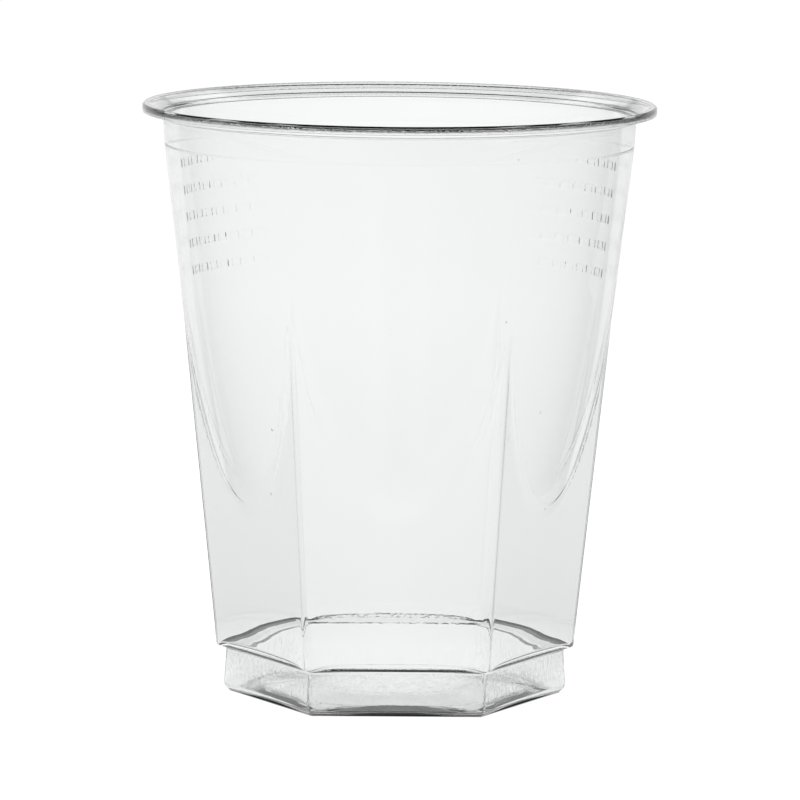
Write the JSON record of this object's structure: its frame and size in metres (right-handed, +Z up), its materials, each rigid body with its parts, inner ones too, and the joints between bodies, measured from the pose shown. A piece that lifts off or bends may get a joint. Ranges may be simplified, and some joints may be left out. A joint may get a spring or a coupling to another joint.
{
  "type": "plastic tumbler cup",
  "caption": "Clear thin-walled drinking tumbler: round flaring mouth with a hooked lip, hexagonal lower body and a narrower hexagonal foot with a raised base.",
  "frame": {"origin": "centre of the foot, on the plane that its pads stand on", "axes": "+Z up the cup's axis to the open mouth; +X points at one corner of the hexagonal foot, and a flat faces -Y"},
  "size_m": [0.078, 0.078, 0.0903],
  "materials": {
    "clear_plastic": "water-clear moulded polystyrene, glossy, slightly rippled where the sheet was chilled at the lip and foot"
  },
  "bodies": {
    "root": {"cup": "clear_plastic"}
  },
  "joints": []
}
